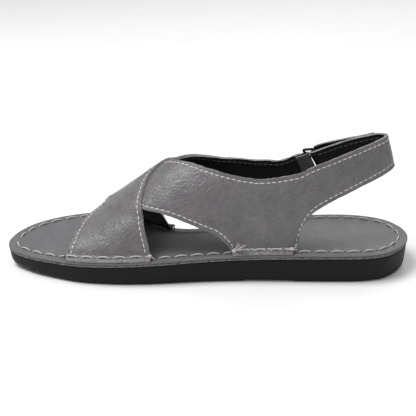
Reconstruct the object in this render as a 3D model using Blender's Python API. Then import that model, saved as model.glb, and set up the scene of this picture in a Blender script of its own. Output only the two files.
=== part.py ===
"""Cross strap sandal, a left shoe: outsole, midsole, footbed, crossed-strap upper with heel sling, closure ring and tab.

The toe points to -X, the wearer's left (outer) side is -Y and +Z is up. The shoe stands on z = 0 with the origin
under the middle of its box. Sizes are in millimetres, and a mesh gets them in metres, moved sideways by SIDE_SHIFT.
"""

import math

import bmesh
import bpy
import numpy as np

MM = 0.001

LENGTH = 256.0
GAP = 0.3
SIDE_SHIFT = 2.6

TOE_SPRING = 3.0
SPRING_START_X = -78.0
ARCH_RECESS = 0.8
ARCH_START_X = 21.0
ARCH_END_X = 54.0
ARCH_RAMP = 3.0
FOOTBED_DISH = 0.8

MIDSOLE_THICK = 1.0
FOOTBED_THICK = 1.2
STRAP_WALL = 2.0
FLANGE_WIDTH = 5.5

STATIONS = 40
OUTSOLE_ACROSS = 6
SHEET_ACROSS = 4

FOREFOOT_GROOVES = (-96.0, -80.0, -64.0, -48.0, -34.0)
HEEL_GROOVES = (72.0, 86.0, 100.0)
GROOVE_HALF_WIDTH = 1.0
GROOVE_SLOPE = 0.4
GROOVE_DEPTH = 1.2
CLOSEST_STATIONS = 1.6
DISH_RUN_OUT = 30.0
MIDSOLE_INSET = 0.3

# Half outline of the footbed, a row for each width: x, outer side y, inner side y.
OUTLINE = (
    (-126.8, -12.4, 3.4),
    (-125.2, -16.0, 8.6),
    (-123.0, -19.0, 13.4),
    (-117.5, -23.5, 22.0),
    (-108.0, -29.8, 30.2),
    (-95.0, -35.8, 36.5),
    (-80.0, -41.5, 39.6),
    (-62.0, -44.3, 37.0),
    (-45.0, -44.8, 26.5),
    (-30.0, -44.0, 13.0),
    (-12.0, -42.0, 6.0),
    (8.0, -40.4, 9.0),
    (30.0, -40.0, 16.5),
    (55.0, -40.6, 23.0),
    (80.0, -41.0, 25.5),
    (98.0, -40.0, 24.5),
    (111.0, -35.8, 20.5),
    (120.0, -27.5, 14.0),
    (125.0, -19.9, 5.9),
    (126.8, -15.2, 1.1),
)
TOE_TIP_Y = -4.5
HEEL_TIP_Y = -7.0
OUTLINE_PIECES = 12

# Thickness of the outsole along the shoe: x, thickness.
OUTSOLE_THICKNESS = (
    (-128.0, 7.4),
    (-112.0, 9.2),
    (-95.0, 10.8),
    (-80.0, 11.8),
    (-60.0, 12.5),
    (-20.0, 13.8),
    (10.0, 15.0),
    (40.0, 15.9),
    (128.0, 16.4),
)

# Rings of the outsole's side from the floor up: inset from the edge, share of the thickness.
SIDE_RINGS = (
    (4.0, 0.0),
    (2.6, 0.05),
    (1.7, 0.17),
    (1.2, 0.36),
    (0.7, 0.86),
    (0.5, 1.0),
)

# Shape of the foot, a row for each section: x, crest y, crest z, inner side's widest y.
FOOT = (
    (-96.0, -3.0, 25.0, 33.0),
    (-84.0, -3.0, 27.8, 34.0),
    (-73.0, -3.0, 31.5, 34.0),
    (-60.0, -3.0, 39.3, 32.0),
    (-48.0, -3.0, 48.5, 29.0),
    (-36.0, -4.0, 58.0, 25.5),
    (-25.0, -5.0, 66.0, 22.0),
    (-12.0, -6.0, 72.3, 19.0),
    (0.0, -7.0, 78.0, 18.0),
    (12.0, -7.0, 86.0, 18.5),
    (26.0, -7.0, 98.0, 20.0),
    (40.0, -7.0, 112.0, 21.5),
)
HEEL_START_X = 40.0
HEEL_ROUNDNESS = 1.7
HEEL_BACK_X = 116.2
HEEL_BACK_AT_Z = 64.3
HEEL_LEAN = 0.29
FILLET = 3.0
FOOT_MIDDLE_Z = 30.0


def row_curve(rows, column, x):
    """Smooth value of one column of a table at x. The first column holds x."""
    keys = np.array([row[0] for row in rows])
    values = np.array([row[column] for row in rows])
    slopes = np.gradient(values, keys)
    x = np.clip(x, keys[0], keys[-1])
    i = np.clip(np.searchsorted(keys, x) - 1, 0, len(keys) - 2)
    step = keys[i + 1] - keys[i]
    t = (x - keys[i]) / step
    start = (2 * t**3 - 3 * t**2 + 1) * values[i] + (t**3 - 2 * t**2 + t) * step * slopes[i]
    end = (3 * t**2 - 2 * t**3) * values[i + 1] + (t**3 - t**2) * step * slopes[i + 1]
    return start + end


def ease(share):
    """0 to 1 with a soft start and end."""
    share = np.clip(share, 0.0, 1.0)
    return share * share * (3 - 2 * share)


def between(a, b, c, d, t):
    """Smooth curve from b (t = 0) to c (t = 1), with a before them and d after them."""
    bend = 2 * a - 5 * b + 4 * c - d
    twist = 3 * b - 3 * c + d - a
    return 0.5 * (2 * b + (c - a) * t + bend * t**2 + twist * t**3)


def through(points, pieces):
    """Smooth curve through a list of points. Each end goes on as the mirror of the point beside it."""
    points = np.asarray(points, float)
    points = np.vstack([2 * points[:1] - points[1:2], points, 2 * points[-1:] - points[-2:-1]])
    found = []
    for a, b, c, d in zip(points, points[1:], points[2:], points[3:]):
        found += [between(a, b, c, d, t) for t in np.arange(pieces) / pieces]
    found.append(points[-2])
    return np.array(found)


def outline_curve():
    """The footbed's outline as two dense curves (x, y) from toe tip to heel tip, outer side and inner side."""
    toe, heel = (-LENGTH / 2, TOE_TIP_Y), (LENGTH / 2, HEEL_TIP_Y)
    outer = [(row[0], row[1]) for row in OUTLINE]
    inner = [(row[0], row[2]) for row in OUTLINE]
    sides = []
    for one, other in ((outer, inner), (inner, outer)):
        curve = through([other[0], toe, *one, heel, other[-1]], OUTLINE_PIECES)
        curve = curve[OUTLINE_PIECES:-OUTLINE_PIECES]
        curve[:, 0] = np.maximum.accumulate(curve[:, 0])
        sides.append(curve)
    return sides


OUTER_CURVE, INNER_CURVE = outline_curve()


def edge_y(x, outer):
    """y of the footbed's edge at x on the outer or inner side."""
    curve = OUTER_CURVE if outer else INNER_CURVE
    return np.interp(x, curve[:, 0], curve[:, 1])


def floor_z(x):
    """Underside of the outsole at its edge: flat, with a toe spring and an arch recess."""
    forward = np.clip(SPRING_START_X - x, 0.0, None) / (SPRING_START_X + LENGTH / 2)
    into = ease((x - ARCH_START_X) / ARCH_RAMP)
    out = ease((ARCH_END_X - x) / ARCH_RAMP)
    return TOE_SPRING * forward**2 + ARCH_RECESS * into * out


def sole_top_z(x):
    spring = TOE_SPRING * (np.clip(SPRING_START_X - x, 0.0, None) / (SPRING_START_X + LENGTH / 2)) ** 2
    return spring + row_curve(OUTSOLE_THICKNESS, 1, x)


def footbed_top_z(x):
    return sole_top_z(x) + GAP + MIDSOLE_THICK + GAP + FOOTBED_THICK


def flange_z(x):
    """Middle of the strap wall where it lies on the footbed."""
    return footbed_top_z(x) + GAP + STRAP_WALL / 2


def wall_y(x, height, outer):
    """y of the foot's wall at a height share between the flange (0) and the crest (1)."""
    crest = row_curve(FOOT, 1, x)
    if outer:
        return crest, crest - (edge_y(np.minimum(x, HEEL_START_X), True) + FLANGE_WIDTH)
    base = edge_y(np.minimum(x, HEEL_START_X), False) - FLANGE_WIDTH - crest
    wide = row_curve(FOOT, 3, x) - crest
    return crest, wide + (base - wide) * (1 - height) ** 2


def foot_point(s, turn):
    """Point of the straps' middle surface. turn is 0 at the outer base, 90 at the crest and 180 at the inner base.
    s is x up to the heel's start. Past it, s minus that start is the angle in degrees around the heel."""
    around = np.radians(max(s - HEEL_START_X, 0.0))
    x = min(s, HEEL_START_X)
    base = flange_z(x + (HEEL_BACK_X - HEEL_START_X) * math.sin(around) ** (2 / HEEL_ROUNDNESS))
    rise = math.sin(math.radians(turn))
    z = base + (row_curve(FOOT, 2, x) - base) * rise
    outer = turn < 90 and around < math.pi / 2
    crest, half = wall_y(x, rise, outer)
    half = half * abs(math.cos(math.radians(turn)))
    if around > 0:
        back = HEEL_BACK_X - (z - HEEL_BACK_AT_Z) * HEEL_LEAN - HEEL_START_X
        x = HEEL_START_X + back * math.sin(around) ** (2 / HEEL_ROUNDNESS)
        half = half * abs(math.cos(around)) ** (2 / HEEL_ROUNDNESS)
    low = FILLET - min(z - base, FILLET)
    flare = FILLET - math.sqrt(FILLET**2 - low**2)
    y = crest - half - flare if outer else crest + half + flare
    return np.array((x, y, z))


# Over strap, a row for each section from the outer base over the instep, down to the inner base and the ring's tab:
# front or lower s, its turn, rear or upper s, its turn.
OVER_STRAP = (
    (-86.5, 0.0, -34.5, 0.0),
    (-86.0, 12.0, -36.0, 12.0),
    (-85.0, 25.0, -38.0, 25.0),
    (-83.6, 40.0, -39.3, 40.0),
    (-82.2, 54.0, -39.3, 54.0),
    (-80.0, 71.0, -37.3, 71.0),
    (-77.0, 84.0, -34.0, 84.0),
    (-72.3, 96.0, -28.0, 96.0),
    (-65.8, 108.0, -20.5, 104.0),
    (-57.8, 120.0, -13.5, 110.5),
    (-47.0, 132.0, -5.5, 119.5),
    (-37.0, 142.0, 2.5, 128.5),
    (-26.0, 150.0, 10.0, 136.0),
    (-14.0, 157.5, 17.0, 141.0),
    (-3.0, 163.5, 23.0, 145.0),
    (5.0, 169.0, 28.5, 148.5),
    (11.0, 173.5, 33.0, 150.8),
    (15.5, 177.5, 37.0, 152.4),
    (18.0, 180.0, 40.0, 153.5),
    (27.0, 180.0, 44.0, 153.9),
    (36.0, 180.0, 47.0, 153.8),
    (45.0, 180.0, 49.7, 153.3),
    (50.6, 180.0, 51.4, 152.8),
    (51.8, 178.5, 52.5, 152.4),
    (52.8, 176.0, 53.5, 152.0),
    (54.1, 172.8, 54.7, 151.4),
    (57.4, 169.0, 56.0, 151.1),
    (61.3, 166.0, 57.2, 150.7),
    (65.2, 163.3, 58.2, 150.3),
)

# Under strap, a row for each section from the inner base over the instep, down to the outer base and into the sling:
# front or lower s, its turn, rear or upper s, its turn.
UNDER_STRAP = (
    (-72.5, 180.0, -22.5, 180.0),
    (-72.5, 174.0, -26.5, 176.0),
    (-72.0, 166.0, -30.5, 169.0),
    (-70.5, 154.0, -33.5, 157.0),
    (-68.3, 140.0, -34.5, 142.0),
    (-65.0, 125.0, -33.5, 127.0),
    (-61.5, 110.0, -30.0, 112.0),
    (-58.5, 97.0, -25.5, 99.0),
    (-55.0, 84.0, -20.5, 87.0),
    (-51.5, 70.0, -15.5, 78.5),
    (-45.0, 56.0, -10.0, 70.5),
    (-38.0, 44.0, -3.5, 62.0),
    (-27.0, 33.0, 4.0, 53.5),
    (-17.0, 25.0, 11.0, 46.5),
    (-4.0, 16.0, 19.0, 40.0),
    (3.0, 12.0, 24.0, 36.7),
    (8.0, 8.0, 28.0, 34.3),
    (13.0, 3.0, 32.5, 32.2),
    (15.5, 0.0, 36.5, 30.9),
    (26.0, 0.0, 40.0, 29.9),
    (37.0, 0.0, 45.5, 30.3),
    (46.0, 0.0, 50.0, 30.8),
    (51.2, 0.0, 53.5, 31.3),
    (52.1, 1.5, 55.2, 31.7),
    (52.9, 4.0, 56.8, 32.1),
    (53.9, 7.2, 58.7, 32.8),
    (56.5, 11.0, 61.0, 33.7),
    (59.5, 14.0, 64.0, 34.6),
    (63.5, 16.3, 67.5, 35.6),
    (71.5, 19.5, 75.0, 37.6),
    (80.5, 22.3, 85.0, 40.1),
    (91.0, 25.0, 96.0, 42.3),
    (105.0, 27.5, 109.0, 44.0),
    (122.5, 29.3, 125.0, 45.0),
    (138.0, 29.3, 139.0, 45.0),
    (149.0, 28.0, 150.5, 44.2),
    (158.0, 26.0, 161.0, 42.0),
    (167.0, 23.5, 172.0, 39.3),
    (177.0, 20.5, 184.0, 35.3),
    (187.2, 17.8, 194.2, 31.4),
)
FIRST_BASE_ROW = 18
LAST_BASE_ROW = 22

ROW_STEPS = 2
COLUMNS = (0.0, 0.02, 0.06, 0.13, 0.25, 0.4, 0.55, 0.7, 0.85, 1.0)
BASE_STEPS = (0.0, 0.05, 0.13, 0.27, 0.5)
FLANGE_LIP = 0.3
LIFT_SINK = 0.6
LIFT_RAMP = 9.0

# Return of the sling past the ring: share of the way back, offset from the sling, rise of its upper edge in degrees.
RETURN_ROWS = (
    (0.0, 4.8, 1.2),
    (0.12, 4.5, 1.6),
    (0.3, 3.7, 1.5),
    (0.5, 3.1, 1.2),
    (0.75, 2.7, 0.5),
    (1.0, 2.6, 0.1),
)
RETURN_END = (157.0, 28.3, 155.0, 43.4)
FOLD_RADIUS = 2.4
FOLD_STEPS = 6
SLING_INSET = 1.0
INSET_START_S = 165.0
INSET_RUN = 28.0

RING_WIRE = 0.8
RING_SIDE_GAP = 1.3
RING_BEND = 1.0
RING_SIDES = 8

TAB_THICK = 1.2
TAB_REACH = 5.0
TAB_RISE = 1.6
TAB_END = (66.7, 161.8, 61.2, 150.0)
TAB_COLUMNS = 5
TAB_ROWS = 5
TAB_STEPS = 6


def material(name, colour, roughness, metallic=0.0):
    made = bpy.data.materials.new(name)
    made.use_nodes = True
    shader = made.node_tree.nodes["Principled BSDF"]
    shader.inputs["Base Color"].default_value = (*colour, 1.0)
    shader.inputs["Roughness"].default_value = roughness
    shader.inputs["Metallic"].default_value = metallic
    return made


def mesh_object(name, points, faces, surface):
    """An object from points in millimetres. Its faces are turned outward when they close a volume."""
    mesh = bpy.data.meshes.new(name)
    mesh.from_pydata([(MM * x, MM * (y + SIDE_SHIFT), MM * z) for x, y, z in points], [], faces)
    shape = bmesh.new()
    shape.from_mesh(mesh)
    bmesh.ops.remove_doubles(shape, verts=shape.verts, dist=0.00001)
    bmesh.ops.recalc_face_normals(shape, faces=shape.faces)
    shape.to_mesh(mesh)
    shape.free()
    mesh.shade_smooth()
    mesh.set_sharp_from_angle(angle=math.radians(35))
    mesh.materials.append(surface)
    made = bpy.data.objects.new(name, mesh)
    bpy.context.scene.collection.objects.link(made)
    return made


def add_modifier(owner, kind, **settings):
    made = owner.modifiers.new(kind.title(), kind)
    for key, value in settings.items():
        setattr(made, key, value)
    return made


def station_list(grooves=()):
    """x of the sole's sections, close together at the round ends and at each side of a groove."""
    turns = np.pi * np.arange(STATIONS + 1) / STATIONS
    even = list(-LENGTH / 2 * np.cos(turns))
    extra = []
    for centre in grooves:
        for side in (-1, 1):
            extra += [centre + side * GROOVE_HALF_WIDTH, centre + side * (GROOVE_HALF_WIDTH + GROOVE_SLOPE)]
    kept = [x for x in even if all(abs(x - other) > CLOSEST_STATIONS for other in extra)]
    return np.array(sorted(kept + extra))


def ring_points(xs, inset):
    """Closed outline (x, y), from the toe tip along the outer side to the heel tip and back along the inner side,
    moved inward by the inset."""
    outer = np.stack([xs, edge_y(xs, True)], -1)
    inner = np.stack([xs, edge_y(xs, False)], -1)
    outer[0, 1] = inner[0, 1] = TOE_TIP_Y
    outer[-1, 1] = inner[-1, 1] = HEEL_TIP_Y
    ring = np.concatenate([outer, inner[-2:0:-1]])
    along = np.roll(ring, -1, axis=0) - np.roll(ring, 1, axis=0)
    along /= np.linalg.norm(along, axis=1)[:, None]
    return ring + inset * np.stack([-along[:, 1], along[:, 0]], -1)


def plate(name, xs, rings, fills, across, surface):
    """A solid from rings of equal point count, stacked from below, with both ends filled across the shoe.
    The two fills, low and high, give z from (x, share across, edge z)."""
    count = len(xs)
    around = 2 * count - 2
    points = [tuple(point) for ring in rings for point in ring]
    faces = []
    for level in range(len(rings) - 1):
        for i in range(around):
            j = (i + 1) % around
            low, high = level * around, (level + 1) * around
            faces.append((low + i, low + j, high + j, high + i))
    for ring_index, fill in zip((0, len(rings) - 1), fills):
        start = ring_index * around
        rows = [[start] * (across + 1)]
        for i in range(1, count - 1):
            one = rings[ring_index][i]
            other = rings[ring_index][around - i]
            row = [start + i]
            for k in range(1, across):
                share = k / across
                x, y, z = one + share * (other - one)
                row.append(len(points))
                points.append((x, y, fill(x, share, z)))
            row.append(start + around - i)
            rows.append(row)
        rows.append([start + count - 1] * (across + 1))
        for row, following in zip(rows, rows[1:]):
            for k in range(across):
                corners = (row[k], row[k + 1], following[k + 1], following[k])
                faces.append(tuple(dict.fromkeys(corners)))
    return mesh_object(name, points, faces, surface)


def dished(x, share, z):
    """The foot's side of each sole layer, a little lower in the middle than at the edge."""
    ends = ease((LENGTH / 2 - abs(x)) / DISH_RUN_OUT)
    return z - FOOTBED_DISH * ends * (1 - (2 * share - 1) ** 2)


def in_groove(x, share):
    """Depth share of the tread grooves, which stop short of the sole's sides."""
    inside = 0.0 < share < 1.0
    grooves = FOREFOOT_GROOVES + HEEL_GROOVES
    return float(inside and any(abs(x - centre) < GROOVE_HALF_WIDTH + 0.01 for centre in grooves))


def make_outsole():
    rubber = material("black rubber", (0.012, 0.012, 0.013), 0.62)
    xs = station_list(FOREFOOT_GROOVES + HEEL_GROOVES)
    rings = []
    for inset, share in SIDE_RINGS:
        flat = ring_points(xs, inset)
        low, high = floor_z(flat[:, 0]), sole_top_z(flat[:, 0])
        rings.append(np.column_stack([flat, low + share * (high - low)]))
    tread = lambda x, share, z: z + GROOVE_DEPTH * in_groove(x, share)
    return plate("outsole", xs, rings, (tread, dished), OUTSOLE_ACROSS, rubber)


def make_sheet(name, edge_inset, bottom, thickness, surface):
    """A thin layer that lies on the sole, its underside at bottom(x)."""
    xs = station_list()
    rings = []
    for lift in (0.0, thickness):
        flat = ring_points(xs, edge_inset)
        rings.append(np.column_stack([flat, bottom(flat[:, 0]) + lift]))
    return plate(name, xs, rings, (dished, dished), SHEET_ACROSS, surface)


def surface_frame(s, turn):
    """Point, direction of growing s, direction of growing turn and outward normal of the foot's surface."""
    point = foot_point(s, turn)
    along = foot_point(s + 0.5, turn) - foot_point(s - 0.5, turn)
    up = foot_point(s, turn + 0.5) - foot_point(s, turn - 0.5)
    along /= np.linalg.norm(along)
    up /= np.linalg.norm(up)
    normal = np.cross(along, up)
    return point, along, up, normal / np.linalg.norm(normal)


def under_strap_inside(s, turn):
    """How far in millimetres a place on the foot lies inside the under strap, negative outside."""
    rows = sorted(UNDER_STRAP[:FIRST_BASE_ROW], key=lambda row: row[1])
    front = np.interp(turn, [row[1] for row in rows], [row[0] for row in rows])
    rows = sorted(UNDER_STRAP[:FIRST_BASE_ROW], key=lambda row: row[3])
    rear = np.interp(turn, [row[3] for row in rows], [row[2] for row in rows])
    return min(s - front, rear - s)


def over_lift(s, turn):
    """Rise of the over strap where it lies on the under strap."""
    inside = under_strap_inside(s, turn)
    return (STRAP_WALL - LIFT_SINK) * ease((inside + LIFT_RAMP) / LIFT_RAMP)


def row_positions(count):
    """Places between table rows where sections are made, closer together where the strap turns onto the footbed."""
    even = np.arange(1, count - 1, 1 / ROW_STEPS)
    return [*BASE_STEPS, *even, count - 1.0]


def at_row(rows, place):
    """A table row, read between its rows where place isn't whole."""
    rows = np.asarray(rows)
    i = int(min(place, len(rows) - 2))
    b, c = rows[i], rows[i + 1]
    a = rows[i - 1] if i > 0 else 2 * b - c
    d = rows[i + 2] if i + 2 < len(rows) else 2 * c - b
    return between(a, b, c, d, place - i)


def section(row, shares, offset=None):
    """Points across a strap on the foot's surface, moved outward by offset(s, turn)."""
    found = []
    for share in shares:
        s = row[0] + share * (row[2] - row[0])
        turn = min(max(row[1] + share * (row[3] - row[1]), 0.0), 180.0)
        point = foot_point(s, turn)
        amount = offset(s, turn) if offset else 0.0
        if amount:
            point = point + amount * surface_frame(s, turn)[3] * outward_sign(s, turn)
        found.append(point)
    return found


def outward_sign(s, turn):
    """The frame's normal points outward on the whole foot when s runs to the heel and turn runs over the crest."""
    point, _, _, normal = surface_frame(s, turn)
    middle = np.array((min(point[0], HEEL_START_X), row_curve(FOOT, 1, point[0]), FOOT_MIDDLE_Z))
    return 1.0 if normal @ (point - middle) > 0 else -1.0


def flange_point(point, outer):
    """Edge of the tongue that lies on the footbed, beside the foot of the wall."""
    edge = edge_y(point[0], outer)
    inward = FLANGE_LIP if outer else -FLANGE_LIP
    return np.array((point[0], edge + inward, flange_z(point[0])))


def grid_faces(rows, columns, start=0):
    faces = []
    for i in range(rows - 1):
        for k in range(columns - 1):
            a = start + i * columns + k
            faces.append((a, a + 1, a + columns + 1, a + columns))
    return faces


def strap_rows(table, outer_start, offset):
    """Sections of a strap, with the tongue of its first base in front. Also the rows whose lower end is on the
    second base."""
    places = row_positions(len(table))
    rows = [section(at_row(table, place), COLUMNS, offset) for place in places]
    rows.insert(0, [flange_point(point, outer_start) for point in rows[0]])
    base_rows = [1 + i for i, place in enumerate(places) if FIRST_BASE_ROW <= place <= LAST_BASE_ROW]
    return rows, base_rows


def strap_object(name, rows, base_rows, outer_end, surface):
    """The strap's middle surface, with the tongue of its second base."""
    points = [point for row in rows for point in row]
    faces = grid_faces(len(rows), len(COLUMNS))
    tongue = []
    for i in base_rows:
        tongue.append((i * len(COLUMNS), len(points)))
        points.append(flange_point(points[i * len(COLUMNS)], outer_end))
    faces += [(a, b, d, c) for (a, b), (c, d) in zip(tongue, tongue[1:])]
    return mesh_object(name, points, faces, surface)


def make_over_strap(surface):
    rows, base_rows = strap_rows(OVER_STRAP, True, over_lift)
    return strap_object("over_strap", rows, base_rows, False, surface)


def sling_offset(s, turn):
    """The sling's end lies a little inward, so that the ring stands in line with the inner quarter."""
    return -SLING_INSET * float(ease((s - INSET_START_S) / INSET_RUN)) if turn < 90 else 0.0


def fold_frame():
    """Middle of the ring's rear bar and its directions: forward along the sling, up along the bar, outward."""
    low_s, low_turn, high_s, high_turn = UNDER_STRAP[-1]
    low, high = section(UNDER_STRAP[-1], (0.0, 1.0), sling_offset)
    _, along, _, normal = surface_frame((low_s + high_s) / 2, (low_turn + high_turn) / 2)
    normal = normal * outward_sign((low_s + high_s) / 2, (low_turn + high_turn) / 2)
    up = (high - low) / np.linalg.norm(high - low)
    forward = along - up * (along @ up)
    forward /= np.linalg.norm(forward)
    outward = np.cross(forward, up)
    outward *= 1.0 if outward @ normal > 0 else -1.0
    return (low + high) / 2 + FOLD_RADIUS * outward, forward, up, outward


def make_under_strap(surface):
    rows, base_rows = strap_rows(UNDER_STRAP, False, sling_offset)
    _, forward, _, outward = fold_frame()
    end = rows[-1]
    for k in range(1, FOLD_STEPS):
        turn = math.pi * k / FOLD_STEPS
        step = FOLD_RADIUS * (math.sin(turn) * forward + (1 - math.cos(turn)) * outward)
        rows.append([point + step for point in end])
    start = np.array(UNDER_STRAP[-1])
    stop = np.array(RETURN_END)
    for share, offset, rise in through(RETURN_ROWS, 2):
        row = start + share * (stop - start)
        row[1] += rise / 2
        row[3] += rise
        rows.append(section(row, COLUMNS, lambda s, turn: offset + sling_offset(s, turn)))
    return strap_object("upper", rows, base_rows, True, surface)


def make_upper():
    leather = material("grey leather", (0.135, 0.131, 0.135), 0.55)
    over = make_over_strap(leather)
    upper = make_under_strap(leather)
    for strap in (over, upper):
        add_modifier(strap, "SOLIDIFY", thickness=STRAP_WALL * MM, offset=0.0, use_even_offset=True)
    over.hide_render = True
    over.display_type = "WIRE"
    add_modifier(upper, "BOOLEAN", operation="UNION", solver="EXACT", object=over)
    return upper


def ring_corners():
    """Corners of the closure ring's wire, from its rear bar in the sling's fold to its front bar in the tab."""
    rear, _, up, _ = fold_frame()
    low, high = section(UNDER_STRAP[-1], (0.0, 1.0), sling_offset)
    half = np.linalg.norm(high - low) / 2 + RING_SIDE_GAP + RING_WIRE
    low, high = section(TAB_END, (0.0, 1.0))
    slant = (high - low) / np.linalg.norm(high - low)
    front = (low + high) / 2
    return [rear - half * up, rear + half * up, front + half * slant, front - half * slant]


def make_ring():
    metal = material("dark ring", (0.02, 0.02, 0.022), 0.35, 0.6)
    corners = ring_corners()
    path = []
    for i, corner in enumerate(corners):
        before = corners[i - 1] - corner
        after = corners[(i + 1) % 4] - corner
        a = corner + RING_BEND * before / np.linalg.norm(before)
        b = corner + RING_BEND * after / np.linalg.norm(after)
        path += [a, 0.5 * corner + 0.25 * (a + b), b]
    path = np.array(path)
    middle = path.mean(axis=0)
    plane = np.cross(corners[1] - corners[0], corners[2] - corners[1])
    plane /= np.linalg.norm(plane)
    points = []
    for i, point in enumerate(path):
        along = path[(i + 1) % len(path)] - path[i - 1]
        out = np.cross(along / np.linalg.norm(along), plane)
        out *= 1.0 if out @ (point - middle) > 0 else -1.0
        for turn in 2 * np.pi * np.arange(RING_SIDES) / RING_SIDES:
            points.append(point + RING_WIRE * (math.cos(turn) * out + math.sin(turn) * plane))
    faces = []
    for i in range(len(path)):
        here, there = i * RING_SIDES, (i + 1) % len(path) * RING_SIDES
        for k in range(RING_SIDES):
            m = (k + 1) % RING_SIDES
            faces.append((here + k, here + m, there + m, there + k))
    return mesh_object("closure_ring", points, faces, metal)


def make_tab():
    """Leather folded round the ring's front bar, with the inner quarter's end between its two leaves."""
    leather = material("tab leather", (0.06, 0.057, 0.06), 0.6)
    radius = (STRAP_WALL + TAB_THICK) / 2 + GAP
    start = np.array(TAB_END) - (TAB_REACH, -TAB_RISE, TAB_REACH, -TAB_RISE)
    shares = np.linspace(0.0, 1.0, TAB_COLUMNS)
    leaves = []
    for side in (-1, 1):
        leaf = []
        for step in np.linspace(0.0, 1.0, TAB_ROWS):
            row = start + step * (np.array(TAB_END) - start)
            leaf.append(section(row, shares, lambda s, turn: side * radius))
        leaves.append(leaf)
    inner, outer = leaves
    middle = [(a + b) / 2 for a, b in zip(inner[-1], outer[-1])]
    _, forward, _, _ = fold_frame()
    fold = []
    for turn in np.pi * np.arange(1, TAB_STEPS) / TAB_STEPS:
        back = radius * math.sin(turn) * forward
        fold.append([m + math.cos(turn) * (a - m) - back for a, m in zip(inner[-1], middle)])
    rows = inner + fold + outer[::-1]
    points = [point for row in rows for point in row]
    tab = mesh_object("ring_tab", points, grid_faces(len(rows), len(shares)), leather)
    add_modifier(tab, "SOLIDIFY", thickness=TAB_THICK * MM, offset=0.0, use_even_offset=True)
    return tab


def clear_scene():
    for existing in list(bpy.data.objects):
        bpy.data.objects.remove(existing)


def main():
    clear_scene()
    edge = material("raw leather edge", (0.21, 0.19, 0.18), 0.8)
    grey = material("footbed leather", (0.13, 0.128, 0.132), 0.6)
    make_outsole()
    make_sheet("midsole", MIDSOLE_INSET, lambda x: sole_top_z(x) + GAP, MIDSOLE_THICK, edge)
    make_sheet("footbed", 0.0, lambda x: sole_top_z(x) + GAP + MIDSOLE_THICK + GAP, FOOTBED_THICK, grey)
    make_upper()
    make_ring()
    make_tab()


main()
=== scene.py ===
# %% [markdown]
# # A cross strap sandal
# A flat leather sandal for the left foot: a rubber outsole, a raw leather layer, a footbed, two wide straps that
# cross over the instep, and a sling round the heel that passes through a ring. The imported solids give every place
# and size. This lesson builds the finer surfaces on the same foot shape and gives them leather, rubber and thread.

# %% Load the frame
import math
import random

import bmesh
import bpy
import numpy as np
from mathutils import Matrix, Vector, noise


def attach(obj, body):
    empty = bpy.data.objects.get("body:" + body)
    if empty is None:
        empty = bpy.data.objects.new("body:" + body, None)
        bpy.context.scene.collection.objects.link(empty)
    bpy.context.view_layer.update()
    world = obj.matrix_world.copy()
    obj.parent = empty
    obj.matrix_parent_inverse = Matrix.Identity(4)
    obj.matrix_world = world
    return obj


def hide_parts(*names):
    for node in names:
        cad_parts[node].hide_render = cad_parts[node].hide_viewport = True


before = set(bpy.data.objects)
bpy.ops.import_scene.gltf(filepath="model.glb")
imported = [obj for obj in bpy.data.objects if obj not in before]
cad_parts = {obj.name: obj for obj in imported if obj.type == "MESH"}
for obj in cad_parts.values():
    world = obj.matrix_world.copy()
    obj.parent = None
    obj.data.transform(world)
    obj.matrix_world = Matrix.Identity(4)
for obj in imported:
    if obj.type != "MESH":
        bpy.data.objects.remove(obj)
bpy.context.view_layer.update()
print("solids:", sorted(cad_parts))

# %% [markdown]
# ## Camera, light and floor
# The camera stands 60 cm away and 25 degrees up, in front of the outer side, with a long lens, as the photograph
# was taken. Big soft lamps and a pale floor keep the shadows faint. The Standard view keeps white as white.

# %% Camera
MM = 0.001
# How far the tables' middle line lies from the frame's, towards the inner side.
SIDE_SHIFT = 2.6
FRAME_PIXELS = 416
FOCAL_PIXELS = 912.0
CAMERA_AT = Vector((0.4, -541.2, 253.6)) * MM
CAMERA_AIM = Vector((0.4, 2.6, 34.0)) * MM


def aimed(name, data, place, aim):
    """An object at a place, pointed at another one."""
    made = bpy.data.objects.new(name, data)
    made.location = place
    made.rotation_euler = (aim - place).to_track_quat("-Z", "Y").to_euler()
    bpy.context.scene.collection.objects.link(made)
    return made


camera_data = bpy.data.cameras.new("camera")
camera_data.sensor_width = 36.0
camera_data.lens = camera_data.sensor_width * FOCAL_PIXELS / FRAME_PIXELS
bpy.context.scene.camera = aimed("camera", camera_data, CAMERA_AT, CAMERA_AIM)
bpy.context.scene.view_settings.view_transform = "Standard"
print("lens", round(camera_data.lens, 1), "mm")


# %% Lamps
LAMP_AIM = Vector((0.0, 0.0, 0.03))
SKY_COLOUR, SKY_STRENGTH = (1.0, 1.0, 1.0, 1.0), 0.56


def lamp(name, place, size, power):
    """A square soft lamp that points at the shoe."""
    data = bpy.data.lights.new(name, "AREA")
    data.size = size
    data.energy = power
    aimed(name, data, Vector(place), LAMP_AIM)


lamp("key_lamp", (-0.5, -0.12, 1.15), size=0.62, power=13.0)
lamp("rim_lamp", (0.5, 0.9, 0.9), size=0.8, power=3.5)
world = bpy.data.worlds.new("studio")
world.use_nodes = True
sky = world.node_tree.nodes["Background"].inputs
sky["Color"].default_value = SKY_COLOUR
sky["Strength"].default_value = SKY_STRENGTH
bpy.context.scene.world = world

# %% [markdown]
# ## Materials
# Each finish is built from noise in the object's own space, so it sits on the surface from every side. Leather is
# small pebbles (Voronoi) on slow wrinkles (noise); cut edges are chalky fibre; the rubber is matte with a fine
# sandy skin; the thread is waxed and twisted. A small kit of node helpers keeps each recipe short.


# %% Node helpers
EVEN = (1.0, 1.0, 1.0)
# The mix node's colour sockets by place, since several share a name.
MIX_SHARE, MIX_LOW, MIX_HIGH, MIX_RESULT = 0, 6, 7, 2


def new_material(name):
    """A new material and its main shader."""
    made = bpy.data.materials.new(name)
    made.use_nodes = True
    return made, made.node_tree.nodes["Principled BSDF"]


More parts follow.
